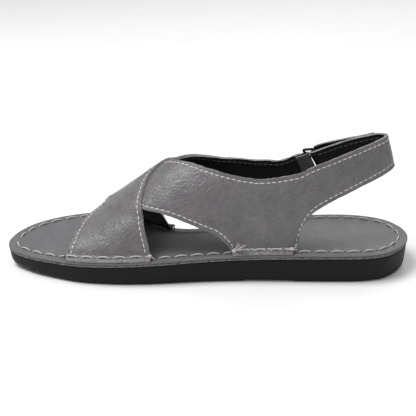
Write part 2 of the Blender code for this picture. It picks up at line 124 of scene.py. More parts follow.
def set_inputs(owner, node, values):
    """Sets a node's inputs, each given as a number, a colour or another node's output."""
    for key, value in values.items():
        if isinstance(value, bpy.types.NodeSocket):
            owner.node_tree.links.new(value, node.inputs[key])
        else:
            node.inputs[key].default_value = value


def add_node(owner, kind, values=None, **settings):
    """A shader node with its settings and inputs."""
    made = owner.node_tree.nodes.new(kind)
    for key, value in settings.items():
        setattr(made, key, value)
    set_inputs(owner, made, values or {})
    return made


def in_millimetres(owner, stretch=EVEN, slope=0.0):
    """Object coordinates in millimetres, stretched where a texture runs one way, at a slope along the shoe."""
    place = add_node(owner, "ShaderNodeTexCoord").outputs["Object"]
    if slope:
        values = {"Vector": place, "Rotation": (0.0, slope, 0.0)}
        place = add_node(owner, "ShaderNodeMapping", values).outputs["Vector"]
    scale = [value / MM for value in stretch]
    return add_node(owner, "ShaderNodeMapping", {"Vector": place, "Scale": scale}).outputs["Vector"]


def noise_at(owner, size, stretch=EVEN, slope=0.0, detail=4.0):
    """Noise whose patches are about size millimetres across."""
    place = in_millimetres(owner, stretch, slope)
    values = {"Vector": place, "Scale": 1.0 / size, "Detail": detail}
    return add_node(owner, "ShaderNodeTexNoise", values).outputs["Fac"]


def pebbles_at(owner, size):
    """Distance to the nearest of many cell edges, size millimetres apart: the grain of leather."""
    values = {"Vector": in_millimetres(owner), "Scale": 1.0 / size}
    made = add_node(owner, "ShaderNodeTexVoronoi", values, feature="SMOOTH_F1")
    return made.outputs["Distance"]


def mixed(owner, share, low, high):
    """A colour from low to high as share goes from 0 to 1."""
    values = {MIX_SHARE: share, MIX_LOW: (*low, 1.0), MIX_HIGH: (*high, 1.0)}
    return add_node(owner, "ShaderNodeMix", values, data_type="RGBA").outputs[MIX_RESULT]


def stretched(owner, value, low, high, to_low=0.0, to_high=1.0):
    """The value's range low to high, made to_low to to_high."""
    values = {"Value": value, "From Min": low, "From Max": high, "To Min": to_low, "To Max": to_high}
    return add_node(owner, "ShaderNodeMapRange", values).outputs["Result"]


def bumped(owner, height, depth, before=None):
    """A bump normal of that depth in millimetres, on top of an earlier one."""
    values = {"Height": height, "Distance": depth * MM}
    if before is not None:
        values["Normal"] = before
    return add_node(owner, "ShaderNodeBump", values).outputs["Normal"]


# %% Leather
PATCH_SIZE, PATCH_RANGE, PATCH_WEIGHT = 9.0, (0.3, 0.7), 0.55
WRINKLE_SIZE, WRINKLE_STRETCH = 5.0, (0.6, 1.0, 1.1)
# The crease tops are lightened by up to this weight: a painted highlight.
CREASE_RANGE, CREASE_HIGHLIGHT_WEIGHT, CREASE_DETAIL = (0.35, 0.65), 0.45, 5.0
CREASE_SLOPE, CREASE_STRETCH = math.radians(35.0), (0.5, 1.0, 1.2)
# The creases' size and depth, as shares of the grain's.
CREASE_SIZE, CREASE_DEPTH = 1.5, 1.3
COAT_ROUGHNESS = 0.32


def leather(name, dark, light, grain, grain_depth, wrinkle_depth, rough, gloss, coat):
    """Soft leather: slow patches, creases with tops painted paler as a highlight, pebbled grain and shallow wrinkles.
    """
    made, shader = new_material(name)
    creases = noise_at(made, grain * CREASE_SIZE, CREASE_STRETCH, CREASE_SLOPE, CREASE_DETAIL)
    patch_tone = stretched(made, noise_at(made, PATCH_SIZE), *PATCH_RANGE, 0.0, PATCH_WEIGHT)
    # Painted highlight: where the crease noise is high, the colour is made paler.
    crease_highlight_tone = stretched(made, creases, *CREASE_RANGE, 0.0, CREASE_HIGHLIGHT_WEIGHT)
    tone = add_node(made, "ShaderNodeMath", {0: patch_tone, 1: crease_highlight_tone}, operation="ADD").outputs[0]
    normal = bumped(made, noise_at(made, WRINKLE_SIZE, WRINKLE_STRETCH, CREASE_SLOPE), wrinkle_depth)
    normal = bumped(made, creases, grain_depth * CREASE_DEPTH, normal)
    normal = bumped(made, pebbles_at(made, grain), grain_depth, normal)
    finish = {"Base Color": mixed(made, tone, dark, light), "Normal": normal, "Coat Normal": normal}
    finish |= {"Roughness": stretched(made, creases, *CREASE_RANGE, *rough[::-1]), "Specular IOR Level": gloss}
    set_inputs(made, shader, finish | {"Coat Weight": coat, "Coat Roughness": COAT_ROUGHNESS})
    return made


# Name, two tones, grain's size and depth, wrinkles' depth, roughness on and between creases, gloss, coat.
LEATHERS = (
    ("strap_leather", (0.085, 0.081, 0.085), (0.155, 0.149, 0.154), 1.0, 0.3, 0.5, (0.36, 0.5), 0.5, 0.2),
    ("footbed_leather", (0.1, 0.099, 0.103), (0.142, 0.14, 0.145), 0.7, 0.08, 0.15, (0.42, 0.56), 0.38, 0.0),
    ("lining_leather", (0.003, 0.003, 0.0034), (0.007, 0.007, 0.0075), 0.9, 0.08, 0.2, (0.5, 0.65), 0.22, 0.0),
    ("tab_leather", (0.034, 0.032, 0.034), (0.062, 0.058, 0.06), 0.9, 0.1, 0.25, (0.45, 0.6), 0.35, 0.0),
)
strap_leather, footbed_leather, lining_leather, tab_leather = (leather(*row) for row in LEATHERS)
print("leathers:", [row[0] for row in LEATHERS])


# %% Cut edges, rubber, thread and metal
def plain_finish(name, dark, light, patch, depth, rough, stretch=EVEN, gloss=0.5, metallic=0.0):
    """A finish of two mixed tones with a bump of the same pattern."""
    made, shader = new_material(name)
    pattern = noise_at(made, patch, stretch)
    colour = mixed(made, stretched(made, pattern, *PATCH_RANGE), dark, light)
    finish = {"Base Color": colour, "Normal": bumped(made, pattern, depth), "Roughness": rough}
    set_inputs(made, shader, finish | {"Specular IOR Level": gloss, "Metallic": metallic})
    return made


raw_edge = plain_finish("raw_edge_leather", (0.12, 0.113, 0.11), (0.3, 0.285, 0.28), 0.9, 0.15, 0.85)
sole_edge = plain_finish(
    "sole_edge_leather", (0.035, 0.033, 0.032), (0.25, 0.235, 0.225), 1.1, 0.35, 0.85, stretch=(0.4, 0.4, 2.0)
)
rubber = plain_finish("black_rubber", (0.003, 0.003, 0.0033), (0.0055, 0.0055, 0.006), 0.8, 0.1, 0.55, gloss=0.2)
thread = plain_finish("waxed_thread", (0.54, 0.52, 0.51), (0.74, 0.71, 0.7), 0.5, 0.12, 0.6)
hand_thread = plain_finish("hand_thread", (0.38, 0.345, 0.35), (0.56, 0.52, 0.525), 0.4, 0.15, 0.6)
lining_thread = plain_finish("lining_thread", (0.03, 0.03, 0.032), (0.06, 0.06, 0.062), 0.5, 0.1, 0.7)
# Near-black painted shade for the discs that stand in for the dark inside of the stitch holes.
painted_hole_shade = plain_finish("stitch_hole_painted_shade", (0.02, 0.02, 0.021), (0.04, 0.039, 0.04), 0.6, 0.05, 0.9)
ring_metal = plain_finish("dark_metal", (0.02, 0.02, 0.022), (0.035, 0.035, 0.038), 2.0, 0.02, 0.3, metallic=0.8)
floor_paper = plain_finish("floor_paper", (0.85, 0.85, 0.85), (0.87, 0.87, 0.87), 40.0, 0.02, 0.9)


# %% Objects and the floor
def make_object(name, points, faces, materials, smooth=True):
    """An object from points in millimetres in the shoe's own frame."""
    mesh = bpy.data.meshes.new(name)
    places = np.asarray(points, float).reshape(-1, 3) + (0.0, SIDE_SHIFT, 0.0)
    mesh.from_pydata((places * MM).tolist(), [], faces)
    mesh.validate()
    for polygon in mesh.polygons:
        polygon.use_smooth = smooth
    for surface in materials:
        mesh.materials.append(surface)
    made = bpy.data.objects.new(name, mesh)
    bpy.context.scene.collection.objects.link(made)
    return made


FLOOR_HALF = 3000.0
corners = [(-FLOOR_HALF, -FLOOR_HALF, 0.0), (FLOOR_HALF, -FLOOR_HALF, 0.0)]
corners += [(FLOOR_HALF, FLOOR_HALF, 0.0), (-FLOOR_HALF, FLOOR_HALF, 0.0)]
floor = make_object("floor", corners, [(0, 1, 2, 3)], [floor_paper], smooth=False)

# %% [markdown]
# ## The sole
# The outsole, the raw leather layer and the footbed share one outline. A table gives the half widths along the
# shoe; a smooth curve runs through it, and each layer is a stack of rings moved in or out from that curve.
# Another table gives the outsole's thickness, which falls from heel to toe.

# %% Sole sizes
LENGTH = 256.0
GAP = 0.3
TOE_SPRING, SPRING_START_X = 3.0, -78.0
ARCH_RECESS, ARCH_START_X, ARCH_END_X, ARCH_RAMP = 0.8, 21.0, 54.0, 3.0
FOOTBED_DISH, DISH_RUN_OUT = 0.8, 30.0
MIDSOLE_THICK, FOOTBED_THICK, STRAP_WALL, FLANGE_WIDTH = 1.0, 1.2, 2.0, 5.5
TOE_TIP_Y, HEEL_TIP_Y = -4.5, -7.0

# Half outline: x, outer side y, inner side y.
OUTLINE = (
    (-126.8, -12.4, 3.4), (-125.2, -16.0, 8.6), (-123.0, -19.0, 13.4), (-117.5, -23.5, 22.0),
    (-108.0, -29.8, 30.2), (-95.0, -35.8, 36.5), (-80.0, -41.5, 39.6), (-62.0, -44.3, 37.0),
    (-45.0, -44.8, 26.5), (-30.0, -44.0, 13.0),
    (-12.0, -42.0, 6.0), (8.0, -40.4, 9.0), (30.0, -40.0, 16.5), (55.0, -40.6, 23.0),
    (80.0, -41.0, 25.5), (98.0, -40.0, 24.5), (111.0, -35.8, 20.5), (120.0, -27.5, 14.0),
    (125.0, -19.9, 5.9), (126.8, -15.2, 1.1),
)
# Outsole: x, thickness.
THICKNESS = (
    (-128.0, 7.4), (-112.0, 9.2), (-95.0, 10.8), (-80.0, 11.8), (-60.0, 12.5),
    (-20.0, 13.8), (10.0, 15.0), (40.0, 15.9), (128.0, 16.4),
)
# Outsole's side from below: inset, share of the thickness.
SIDE_RINGS = (
    (6.5, 0.0), (4.3, 0.0), (3.4, 0.02), (2.6, 0.06), (1.9, 0.14), (1.4, 0.27),
    (1.1, 0.45), (0.8, 0.7), (0.6, 0.9), (0.6, 0.97), (1.0, 1.0),
)
GROOVES = (-96.0, -80.0, -64.0, -48.0, -34.0, 72.0, 86.0, 100.0)
GROOVE_HALF_WIDTH, GROOVE_SLOPE, GROOVE_DEPTH = 1.0, 0.4, 1.2
# Where a groove starts and stops across the sole, and the slack at its corners.
GROOVE_START, GROOVE_STOP, GROOVE_SLACK = 0.1, 0.9, 0.01


# %% Curves through tables
def table_curve(rows, column, x):
    """Smooth value of one column of a table at x. The first column holds x."""
    keys = np.array([row[0] for row in rows])
    values = np.array([row[column] for row in rows])
    slopes = np.gradient(values, keys)
    x = np.clip(x, keys[0], keys[-1])
    i = np.clip(np.searchsorted(keys, x) - 1, 0, len(keys) - 2)
    step = keys[i + 1] - keys[i]
    t = (x - keys[i]) / step
    start = (2 * t**3 - 3 * t**2 + 1) * values[i] + (t**3 - 2 * t**2 + t) * step * slopes[i]
    return start + (3 * t**2 - 2 * t**3) * values[i + 1] + (t**3 - t**2) * step * slopes[i + 1]


def ease(share):
    """0 to 1 with a soft start and end."""
    share = np.clip(share, 0.0, 1.0)
    return share * share * (3 - 2 * share)


def between(a, b, c, d, t):
    """Smooth curve from b (t = 0) to c (t = 1), with a before them and d after them."""
    bend = 2 * a - 5 * b + 4 * c - d
    twist = 3 * b - 3 * c + d - a
    return 0.5 * (2 * b + (c - a) * t + bend * t**2 + twist * t**3)


def through(points, pieces):
    """Smooth curve through a list of points. Each end goes on as the mirror of the point beside it."""
    points = np.asarray(points, float)
    points = np.vstack([2 * points[:1] - points[1:2], points, 2 * points[-1:] - points[-2:-1]])
    found = []
    for a, b, c, d in zip(points, points[1:], points[2:], points[3:]):
        found += [between(a, b, c, d, t) for t in np.arange(pieces) / pieces]
    return np.array([*found, points[-2]])


# %% Outline and heights
OUTLINE_PIECES = 12


def side_curve(column, other_column):
    """One side of the outline, dense, from toe tip to heel tip."""
    toe, heel = (-LENGTH / 2, TOE_TIP_Y), (LENGTH / 2, HEEL_TIP_Y)
    one = [(row[0], row[column]) for row in OUTLINE]
    ends = [(OUTLINE[i][0], OUTLINE[i][other_column]) for i in (0, -1)]
    curve = through([ends[0], toe, *one, heel, ends[1]], OUTLINE_PIECES)[OUTLINE_PIECES:-OUTLINE_PIECES]
    curve[:, 0] = np.maximum.accumulate(curve[:, 0])
    return curve


OUTER_CURVE, INNER_CURVE = side_curve(1, 2), side_curve(2, 1)


def edge_y(x, outer):
    """The outline's y at x, on its outer or inner side."""
    curve = OUTER_CURVE if outer else INNER_CURVE
    return np.interp(x, curve[:, 0], curve[:, 1])


def spring_z(x):
    """How far the toe is bent up."""
    forward = np.clip(SPRING_START_X - x, 0.0, None) / (SPRING_START_X + LENGTH / 2)
    return TOE_SPRING * forward**2


def floor_z(x):
    """The outsole's underside, with its arch."""
    arch = ease((x - ARCH_START_X) / ARCH_RAMP) * ease((ARCH_END_X - x) / ARCH_RAMP)
    return spring_z(x) + ARCH_RECESS * arch


def sole_top_z(x):
    """The outsole's top at its edge."""
    return spring_z(x) + table_curve(THICKNESS, 1, x)


def footbed_top_z(x):
    """The footbed's top at its edge."""
    return sole_top_z(x) + GAP + MIDSOLE_THICK + GAP + FOOTBED_THICK


def flange_z(x):
    """Middle of the strap wall where it lies on the footbed."""
    return footbed_top_z(x) + GAP + STRAP_WALL / 2


print("ball width", round(float(edge_y(-62, False) - edge_y(-62, True)), 1), "mm")

# %% [markdown]
# Each layer is a stack of rings with a grid across the top and the bottom. The stations are closer together at
# the round ends, so toe and heel stay smooth.

# %% Layers
ACROSS = 12
STATION_SPACE = 0.7


def stations(count, grooves=()):
    """Places along the sole, closer together at its round ends, with four more at each groove."""
    even = -LENGTH / 2 * np.cos(np.pi * np.arange(count + 1) / count)
    mouth = GROOVE_HALF_WIDTH + GROOVE_SLOPE
    corners = (-mouth, -GROOVE_HALF_WIDTH, GROOVE_HALF_WIDTH, mouth)
    extra = [centre + corner for centre in grooves for corner in corners]
    kept = [x for x in even if all(abs(x - other) > STATION_SPACE for other in extra)]
    return np.array(sorted(kept + extra))


def ring_points(xs, inset):
    """Closed outline (x, y) moved inward, along the outer side to the heel and back along the inner side."""
    outer = np.stack([xs, edge_y(xs, True)], -1)
    inner = np.stack([xs, edge_y(xs, False)], -1)
    outer[0, 1] = inner[0, 1] = TOE_TIP_Y
    outer[-1, 1] = inner[-1, 1] = HEEL_TIP_Y
    ring = np.concatenate([outer, inner[-2:0:-1]])
    along = np.roll(ring, -1, axis=0) - np.roll(ring, 1, axis=0)
    along /= np.linalg.norm(along, axis=1)[:, None]
    return ring + inset * np.stack([-along[:, 1], along[:, 0]], -1)


def layer(name, xs, rings, fills, surface):
    """A closed solid from rings stacked from below. fills give z across the bottom and the top."""
    count, around = len(xs), 2 * len(xs) - 2
    points = [tuple(point) for ring in rings for point in ring]
    faces = []
    for low in range(0, (len(rings) - 1) * around, around):
        for i in range(around):
            j = (i + 1) % around
            faces.append((low + i, low + j, low + around + j, low + around + i))
    for ring_index, fill in zip((0, len(rings) - 1), fills):
        start = ring_index * around
        rows = [[start] * (ACROSS + 1)]
        for i in range(1, count - 1):
            one, other = np.array(rings[ring_index][i]), np.array(rings[ring_index][around - i])
            row = [start + i]
            for share in np.arange(1, ACROSS) / ACROSS:
                x, y, z = one + share * (other - one)
                row.append(len(points))
                points.append((x, y, fill(x, share, z)))
            rows.append([*row, start + around - i])
        rows.append([start + count - 1] * (ACROSS + 1))
        for row, following in zip(rows, rows[1:]):
            for k in range(ACROSS):
                corners = (row[k], row[k + 1], following[k + 1], following[k])
                corners = corners if ring_index else corners[::-1]
                faces.append(tuple(dict.fromkeys(corners))[::-1])
    made = make_object(name, points, faces, [surface])
    shape = bmesh.new()
    shape.from_mesh(made.data)
    bmesh.ops.recalc_face_normals(shape, faces=shape.faces)
    shape.to_mesh(made.data)
    shape.free()
    return made


def dished(x, share, z):
    """The foot's side of each layer, a little lower in the middle than at the edge."""
    ends = ease((LENGTH / 2 - abs(x)) / DISH_RUN_OUT)
    return z - FOOTBED_DISH * ends * (1 - (2 * share - 1) ** 2)


def tread(x, share, z):
    """The grooves under the sole, which stop short of its sides."""
    near = min(abs(x - centre) for centre in GROOVES)
    return z + GROOVE_DEPTH * (near < GROOVE_HALF_WIDTH + GROOVE_SLACK) * (GROOVE_START < share < GROOVE_STOP)


def stack(xs, rows):
    """Rings from (inset, z of x) rows."""
    found = []
    for inset, height in rows:
        flat = ring_points(xs, inset)
        found.append(np.column_stack([flat, height(flat[:, 0])]))
    return found


# %% Outsole
SOLE_STATIONS = 150


def side_height(share):
    """Height of the outsole's side at a share of its thickness, as a function of x."""
    return lambda x: floor_z(x) + share * (sole_top_z(x) - floor_z(x))


xs = stations(SOLE_STATIONS, GROOVES)
side = [(inset, side_height(share)) for inset, share in SIDE_RINGS]
outsole = layer("outsole_moulded", xs, stack(xs, side), (tread, dished), rubber)
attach(outsole, "root")
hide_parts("outsole")
print("outsole faces", len(outsole.data.polygons))


# %% Midsole and footbed
# A thin layer's side from below: share of its roundness, share of its thickness.
SHEET_RINGS = ((1.0, 0.0), (0.3, 0.12), (0.0, 0.35), (0.0, 0.65), (0.3, 0.88), (1.0, 1.0))
MIDSOLE_INSET, MIDSOLE_ROUNDNESS, FOOTBED_ROUNDNESS = 0.3, 0.25, 0.35
# The seen midsole fills most of the gaps under and over it.
MIDSOLE_LIFT, MIDSOLE_SEEN = 0.2 * GAP, MIDSOLE_THICK + 1.2 * GAP


def sheet_rows(bottom, thickness, inset, roundness):
    """A thin layer's side, with its two corners rounded."""
    found = []
    for bend, share in SHEET_RINGS:
        found.append((inset + bend * roundness, lambda x, share=share: bottom(x) + share * thickness))
    return found


xs = stations(SOLE_STATIONS)
midsole = layer(
    "midsole_cut_leather",
    xs,
    stack(xs, sheet_rows(lambda x: sole_top_z(x) + MIDSOLE_LIFT, MIDSOLE_SEEN, MIDSOLE_INSET, MIDSOLE_ROUNDNESS)),
    (dished, dished),
    sole_edge,
)
footbed = layer(
    "footbed_sheet",
    xs,
    stack(xs, sheet_rows(lambda x: sole_top_z(x) + 2 * GAP + MIDSOLE_THICK, FOOTBED_THICK, 0.0, FOOTBED_ROUNDNESS)),
    (dished, dished),
    footbed_leather,
)
for piece, node, slot_name in ((midsole, "midsole", "raw_edge_leather"), (footbed, "footbed", "footbed_leather")):
    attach(piece, "root")
    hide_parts(node)

# %% [markdown]
# ## The foot under the straps
# Straps take the shape of the foot that wears them in, so the foot's surface comes first. `turn` runs from the
# outer base (0) over the crest (90) to the inner base (180); `s` runs along the shoe, and past the heel's start it
# counts degrees round the heel.

# %% Foot surface
# Foot: x, crest y, crest z, inner side's widest y.
FOOT = (
    (-96.0, -3.0, 25.0, 33.0), (-84.0, -3.0, 27.8, 34.0), (-73.0, -3.0, 31.5, 34.0), (-60.0, -3.0, 39.3, 32.0),
    (-48.0, -3.0, 48.5, 29.0), (-36.0, -4.0, 58.0, 25.5), (-25.0, -5.0, 66.0, 22.0), (-12.0, -6.0, 72.3, 19.0),
    (0.0, -7.0, 78.0, 18.0), (12.0, -7.0, 86.0, 18.5), (26.0, -7.0, 98.0, 20.0), (40.0, -7.0, 112.0, 21.5),
)
HEEL_START_X, HEEL_ROUNDNESS = 40.0, 1.7
HEEL_BACK_X, HEEL_BACK_AT_Z, HEEL_LEAN = 116.2, 64.3, 0.29
FILLET = 3.0
# Steps for the surface's direction, and the lowest turn it is taken at.
NORMAL_STEP, LOWEST_TURN = 0.5, 0.6


def foot_points(s, turn):
    """Points of the straps' middle surface, for arrays of s and turn."""
    s, turn = np.broadcast_arrays(np.asarray(s, float), np.asarray(turn, float))
    around = np.radians(np.maximum(s - HEEL_START_X, 0.0))
    x = np.minimum(s, HEEL_START_X)
    power = 2 / HEEL_ROUNDNESS
    base = flange_z(x + (HEEL_BACK_X - HEEL_START_X) * np.abs(np.sin(around)) ** power)
    rise = np.sin(np.radians(turn))
    z = base + (table_curve(FOOT, 2, x) - base) * rise
    outer = (turn < 90) & (around < math.pi / 2)
    crest = table_curve(FOOT, 1, x)
    outer_half = crest - edge_y(x, True) - FLANGE_WIDTH
    base_half = edge_y(x, False) - FLANGE_WIDTH - crest
    wide = table_curve(FOOT, 3, x) - crest
    inner_half = wide + (base_half - wide) * (1 - rise) ** 2
    half = np.where(outer, outer_half, inner_half) * np.abs(np.cos(np.radians(turn)))
    half = half * np.abs(np.cos(around)) ** power
    back = HEEL_BACK_X - (z - HEEL_BACK_AT_Z) * HEEL_LEAN - HEEL_START_X
    x = x + back * np.abs(np.sin(around)) ** power
    low = FILLET - np.minimum(z - base, FILLET)
    flare = FILLET - np.sqrt(np.maximum(FILLET**2 - low**2, 0.0))
    y = np.where(outer, crest - half - flare, crest + half + flare)
    return np.stack([x, y, z], -1)


def unit(vectors):
    """The vectors at length 1."""
    return vectors / np.maximum(np.linalg.norm(vectors, axis=-1, keepdims=True), 1e-9)


def foot_normals(s, turn):
    """Outward direction of the foot's surface."""
    turn = np.clip(turn, LOWEST_TURN, 180.0 - LOWEST_TURN)
    along = foot_points(s + NORMAL_STEP, turn) - foot_points(s - NORMAL_STEP, turn)
    up = foot_points(s, turn + NORMAL_STEP) - foot_points(s, turn - NORMAL_STEP)
    return unit(np.cross(along, up))


# %% [markdown]
# ## Straps
# Each strap is a table of sections, one row for each place along it, that says where its two edges lie on the
# foot. Columns sit at fixed distances in from each edge, so the stitch line is a column of its own and the
# leather can dip along it. Solidify gives the sheet its thickness, with black lining inside and a cut edge.

# %% Strap tables
# Over strap, outer base to the ring's tab: front or lower s, its turn, rear or upper s, its turn.
OVER_STRAP = (
    (-86.5, 0.0, -34.5, 0.0), (-86.0, 12.0, -36.0, 12.0), (-85.0, 25.0, -38.0, 25.0), (-83.6, 40.0, -39.3, 40.0),
    (-82.2, 54.0, -39.3, 54.0), (-80.0, 71.0, -37.3, 71.0), (-77.0, 84.0, -34.0, 84.0), (-72.3, 96.0, -28.0, 96.0),
    (-65.8, 108.0, -20.5, 104.0), (-57.8, 120.0, -13.5, 110.5), (-47.0, 132.0, -5.5, 119.5),
    (-37.0, 142.0, 2.5, 128.5), (-26.0, 150.0, 10.0, 136.0), (-14.0, 157.5, 17.0, 141.0), (-3.0, 163.5, 23.0, 145.0),
    (5.0, 169.0, 28.5, 148.5), (11.0, 173.5, 33.0, 150.8), (15.5, 177.5, 37.0, 152.4), (18.0, 180.0, 40.0, 153.5),
    (27.0, 180.0, 44.0, 153.9), (36.0, 180.0, 47.0, 153.8), (45.0, 180.0, 49.7, 153.3), (50.6, 180.0, 51.4, 152.8),
    (51.8, 178.5, 52.5, 152.4), (52.8, 176.0, 53.5, 152.0), (54.1, 172.8, 54.7, 151.4), (57.4, 169.0, 56.0, 151.1),
    (61.3, 166.0, 57.2, 150.7), (65.2, 163.3, 58.2, 150.3),
)
# Under strap, inner base to the sling's end: front or lower s, its turn, rear or upper s, its turn.
UNDER_STRAP = (
    (-72.5, 180.0, -22.5, 180.0), (-72.5, 174.0, -26.5, 176.0), (-72.0, 166.0, -30.5, 169.0),
    (-70.5, 154.0, -33.5, 157.0), (-68.3, 140.0, -34.5, 142.0), (-65.0, 125.0, -33.5, 127.0),
    (-61.5, 110.0, -30.0, 112.0), (-58.5, 97.0, -25.5, 99.0), (-55.0, 84.0, -20.5, 87.0), (-51.5, 70.0, -15.5, 78.5),
    (-45.0, 56.0, -10.0, 70.5), (-38.0, 44.0, -3.5, 62.0), (-27.0, 33.0, 4.0, 53.5), (-17.0, 25.0, 11.0, 46.5),
    (-4.0, 16.0, 19.0, 40.0), (3.0, 12.0, 24.0, 36.7), (8.0, 8.0, 28.0, 34.3), (13.0, 3.0, 32.5, 32.2),
    (15.5, 0.0, 36.5, 30.9), (26.0, 0.0, 40.0, 29.9), (37.0, 0.0, 45.5, 30.3), (46.0, 0.0, 50.0, 30.8),
    (51.2, 0.0, 53.5, 31.3), (52.1, 1.5, 55.2, 31.7), (52.9, 4.0, 56.8, 32.1), (53.9, 7.2, 58.7, 32.8),
    (56.5, 11.0, 61.0, 33.7), (59.5, 14.0, 64.0, 34.6), (63.5, 16.3, 67.5, 35.6), (71.5, 19.5, 75.0, 37.6),
    (80.5, 22.3, 85.0, 40.1), (91.0, 25.0, 96.0, 42.3), (105.0, 27.5, 109.0, 44.0), (122.5, 29.3, 125.0, 45.0),
    (138.0, 29.3, 139.0, 45.0), (149.0, 28.0, 150.5, 44.2), (158.0, 26.0, 161.0, 42.0), (167.0, 23.5, 172.0, 39.3),
    (177.0, 20.5, 184.0, 35.3), (187.2, 17.8, 194.2, 31.4),
)
FIRST_BASE_ROW, LAST_BASE_ROW = 18, 22
LIFT_SINK, LIFT_RAMP = 0.35, 9.0
FLANGE_LIP = 0.3
TONGUE_THIN = 0.4
SLING_INSET, INSET_START_S, INSET_RUN = 1.0, 165.0, 28.0
# Return of the sling past the ring: share of the way back, offset from the sling, rise of its upper edge.
RETURN_ROWS = ((0.0, 4.8, 1.2), (0.12, 4.5, 1.6), (0.3, 3.7, 1.5), (0.5, 3.1, 1.2), (0.75, 2.7, 0.5), (1.0, 2.6, 0.1))
RETURN_END = (157.0, 28.3, 155.0, 43.4)
FOLD_RADIUS = 2.4

# %% Columns and offsets
STITCH_INSET = 2.7
EDGE_COLUMNS = (0.0, 0.5, 1.1, 1.9, STITCH_INSET, 3.5, 4.6, 6.2)
MIDDLE_COLUMNS = 14
STITCH_COLUMN = EDGE_COLUMNS.index(STITCH_INSET)
MEASURES = np.linspace(0.0, 1.0, 49)


def under_strap_inside(s, turn):
    """How far in millimetres a place on the foot lies inside the under strap, negative outside."""
    found = []
    for s_column, turn_column in ((0, 1), (2, 3)):
        rows = sorted(UNDER_STRAP[:FIRST_BASE_ROW], key=lambda row: row[turn_column])
        found.append(np.interp(turn, [row[turn_column] for row in rows], [row[s_column] for row in rows]))
    return np.minimum(s - found[0], found[1] - s)


def over_lift(s, turn):
    """Rise of the over strap where it lies on the under strap."""
    return (STRAP_WALL - LIFT_SINK) * ease((under_strap_inside(s, turn) + LIFT_RAMP) / LIFT_RAMP)


def sling_offset(s, turn):
    """The sling's end lies a little inward, in line with the inner quarter."""
    return np.where(turn < 90, -SLING_INSET * ease((s - INSET_START_S) / INSET_RUN), 0.0)


def section(row, shares, offset=None):
    """Points across a strap at one row of its table."""
    shares = np.asarray(shares, float)
    s = row[0] + shares * (row[2] - row[0])
    turn = np.clip(row[1] + shares * (row[3] - row[1]), 0.0, 180.0)
    points = foot_points(s, turn)
    if offset is not None:
        points = points + offset(s, turn)[..., None] * foot_normals(s, turn)
    return points


def column_shares(row, offset=None):
    """Shares across the strap that put the columns at fixed distances from its two edges."""
    points = section(row, MEASURES, offset)
    lengths = np.concatenate([[0.0], np.cumsum(np.linalg.norm(np.diff(points, axis=0), axis=1))])
    width = lengths[-1]
    near = np.array(EDGE_COLUMNS)
    middle = np.linspace(near[-1], width - near[-1], MIDDLE_COLUMNS + 2)[1:-1]
    wanted = np.concatenate([near, middle, width - near[::-1]])
    return np.interp(wanted, lengths, MEASURES), wanted, width


def at_row(rows, place):
    """A table row, read between its rows where place isn't whole."""
    rows = np.asarray(rows)
    i = int(min(place, len(rows) - 2))
    b, c = rows[i], rows[i + 1]
    a = rows[i - 1] if i > 0 else 2 * b - c
    d = rows[i + 2] if i + 2 < len(rows) else 2 * c - b
    return between(a, b, c, d, place - i)


def flange_point(point, outer):
    """Edge of the tongue that lies on the footbed."""
    inward = FLANGE_LIP if outer else -FLANGE_LIP
    thinned = (1 - TONGUE_THIN) * STRAP_WALL / 2
    return np.array((point[0], edge_y(point[0], outer) + inward, flange_z(point[0]) - thinned))


# %% Strap grid
ROW_STEPS = 6
BASE_PLACES = (0.0, 0.02, 0.05, 0.09, 0.14, 0.2, 0.28, 0.38, 0.5, 0.64, 0.8)


def strap_grid(table, outer_start, offset):
    """Rows of points along a strap, how far each point is from its nearest edge, and each row's table place."""
    places = [*BASE_PLACES, *np.arange(1, len(table) - 1, 1 / ROW_STEPS), len(table) - 1.0]
    rows, edges = [], []
    for place in places:
        row = at_row(table, place)
        shares, distance, width = column_shares(row, offset)
        rows.append(section(row, shares, offset))
        edges.append(np.minimum(distance, width - distance))
    tongue = [flange_point(point, outer_start) for point in rows[0]]
    half = [0.5 * (a + b) for a, b in zip(tongue, rows[0])]
    return [tongue, half, *rows], [edges[0], edges[0], *edges], [-1.0, -0.5, *places]


over_rows, over_edges, over_places = strap_grid(OVER_STRAP, True, over_lift)
under_rows, under_edges, under_places = strap_grid(UNDER_STRAP, False, sling_offset)
print("over strap rows", len(over_rows), "under strap rows", len(under_rows), "columns", len(over_rows[0]))

# %% [markdown]
# The sling's end goes through the ring and back on its outside. The fold is a half circle round the ring's rear
# bar, and the return lies on the sling, closing in on it towards its free end.

# %% Sling fold and return
FOLD_STEPS, RETURN_STEPS = 12, 10


def sling_fold():
    """Middle of the ring's rear bar, and the directions forward along the sling, up the bar and outward."""
    low, high = section(UNDER_STRAP[-1], (0.0, 1.0), sling_offset)
    end = np.array(UNDER_STRAP[-1])
    s, turn = (end[:2] + end[2:]) / 2
    along = unit(foot_points(s + NORMAL_STEP, turn) - foot_points(s - NORMAL_STEP, turn))
    normal = foot_normals(s, turn)
    up = unit(high - low)
    forward = unit(along - up * (along @ up))
    outward = np.cross(forward, up)
    outward = outward * np.sign(outward @ normal)
    return (low + high) / 2 + FOLD_RADIUS * outward, forward, up, outward


ring_rear, sling_forward, ring_up, sling_outward = sling_fold()
end_row = np.array(under_rows[-1])
end_edges = under_edges[-1]
first_return_row = len(under_rows)
for angle in np.pi * np.arange(1, FOLD_STEPS) / FOLD_STEPS:
    step = FOLD_RADIUS * (math.sin(angle) * sling_forward + (1 - math.cos(angle)) * sling_outward)
    under_rows.append(end_row + step)
    under_edges.append(end_edges)
    under_places.append(len(UNDER_STRAP) - 1.0)
start, stop = np.array(UNDER_STRAP[-1]), np.array(RETURN_END)
for share, away, rise in through(RETURN_ROWS, RETURN_STEPS):
    row = start + share * (stop - start)
    row += (0.0, rise / 2, 0.0, rise)
    shares, distance, width = column_shares(row)
    under_rows.append(section(row, shares, lambda s, turn: away + sling_offset(s, turn)))
    under_edges.append(np.minimum(distance, width - distance))
    under_places.append(len(UNDER_STRAP) - 1.0)
print("return rows", len(under_rows) - first_return_row)

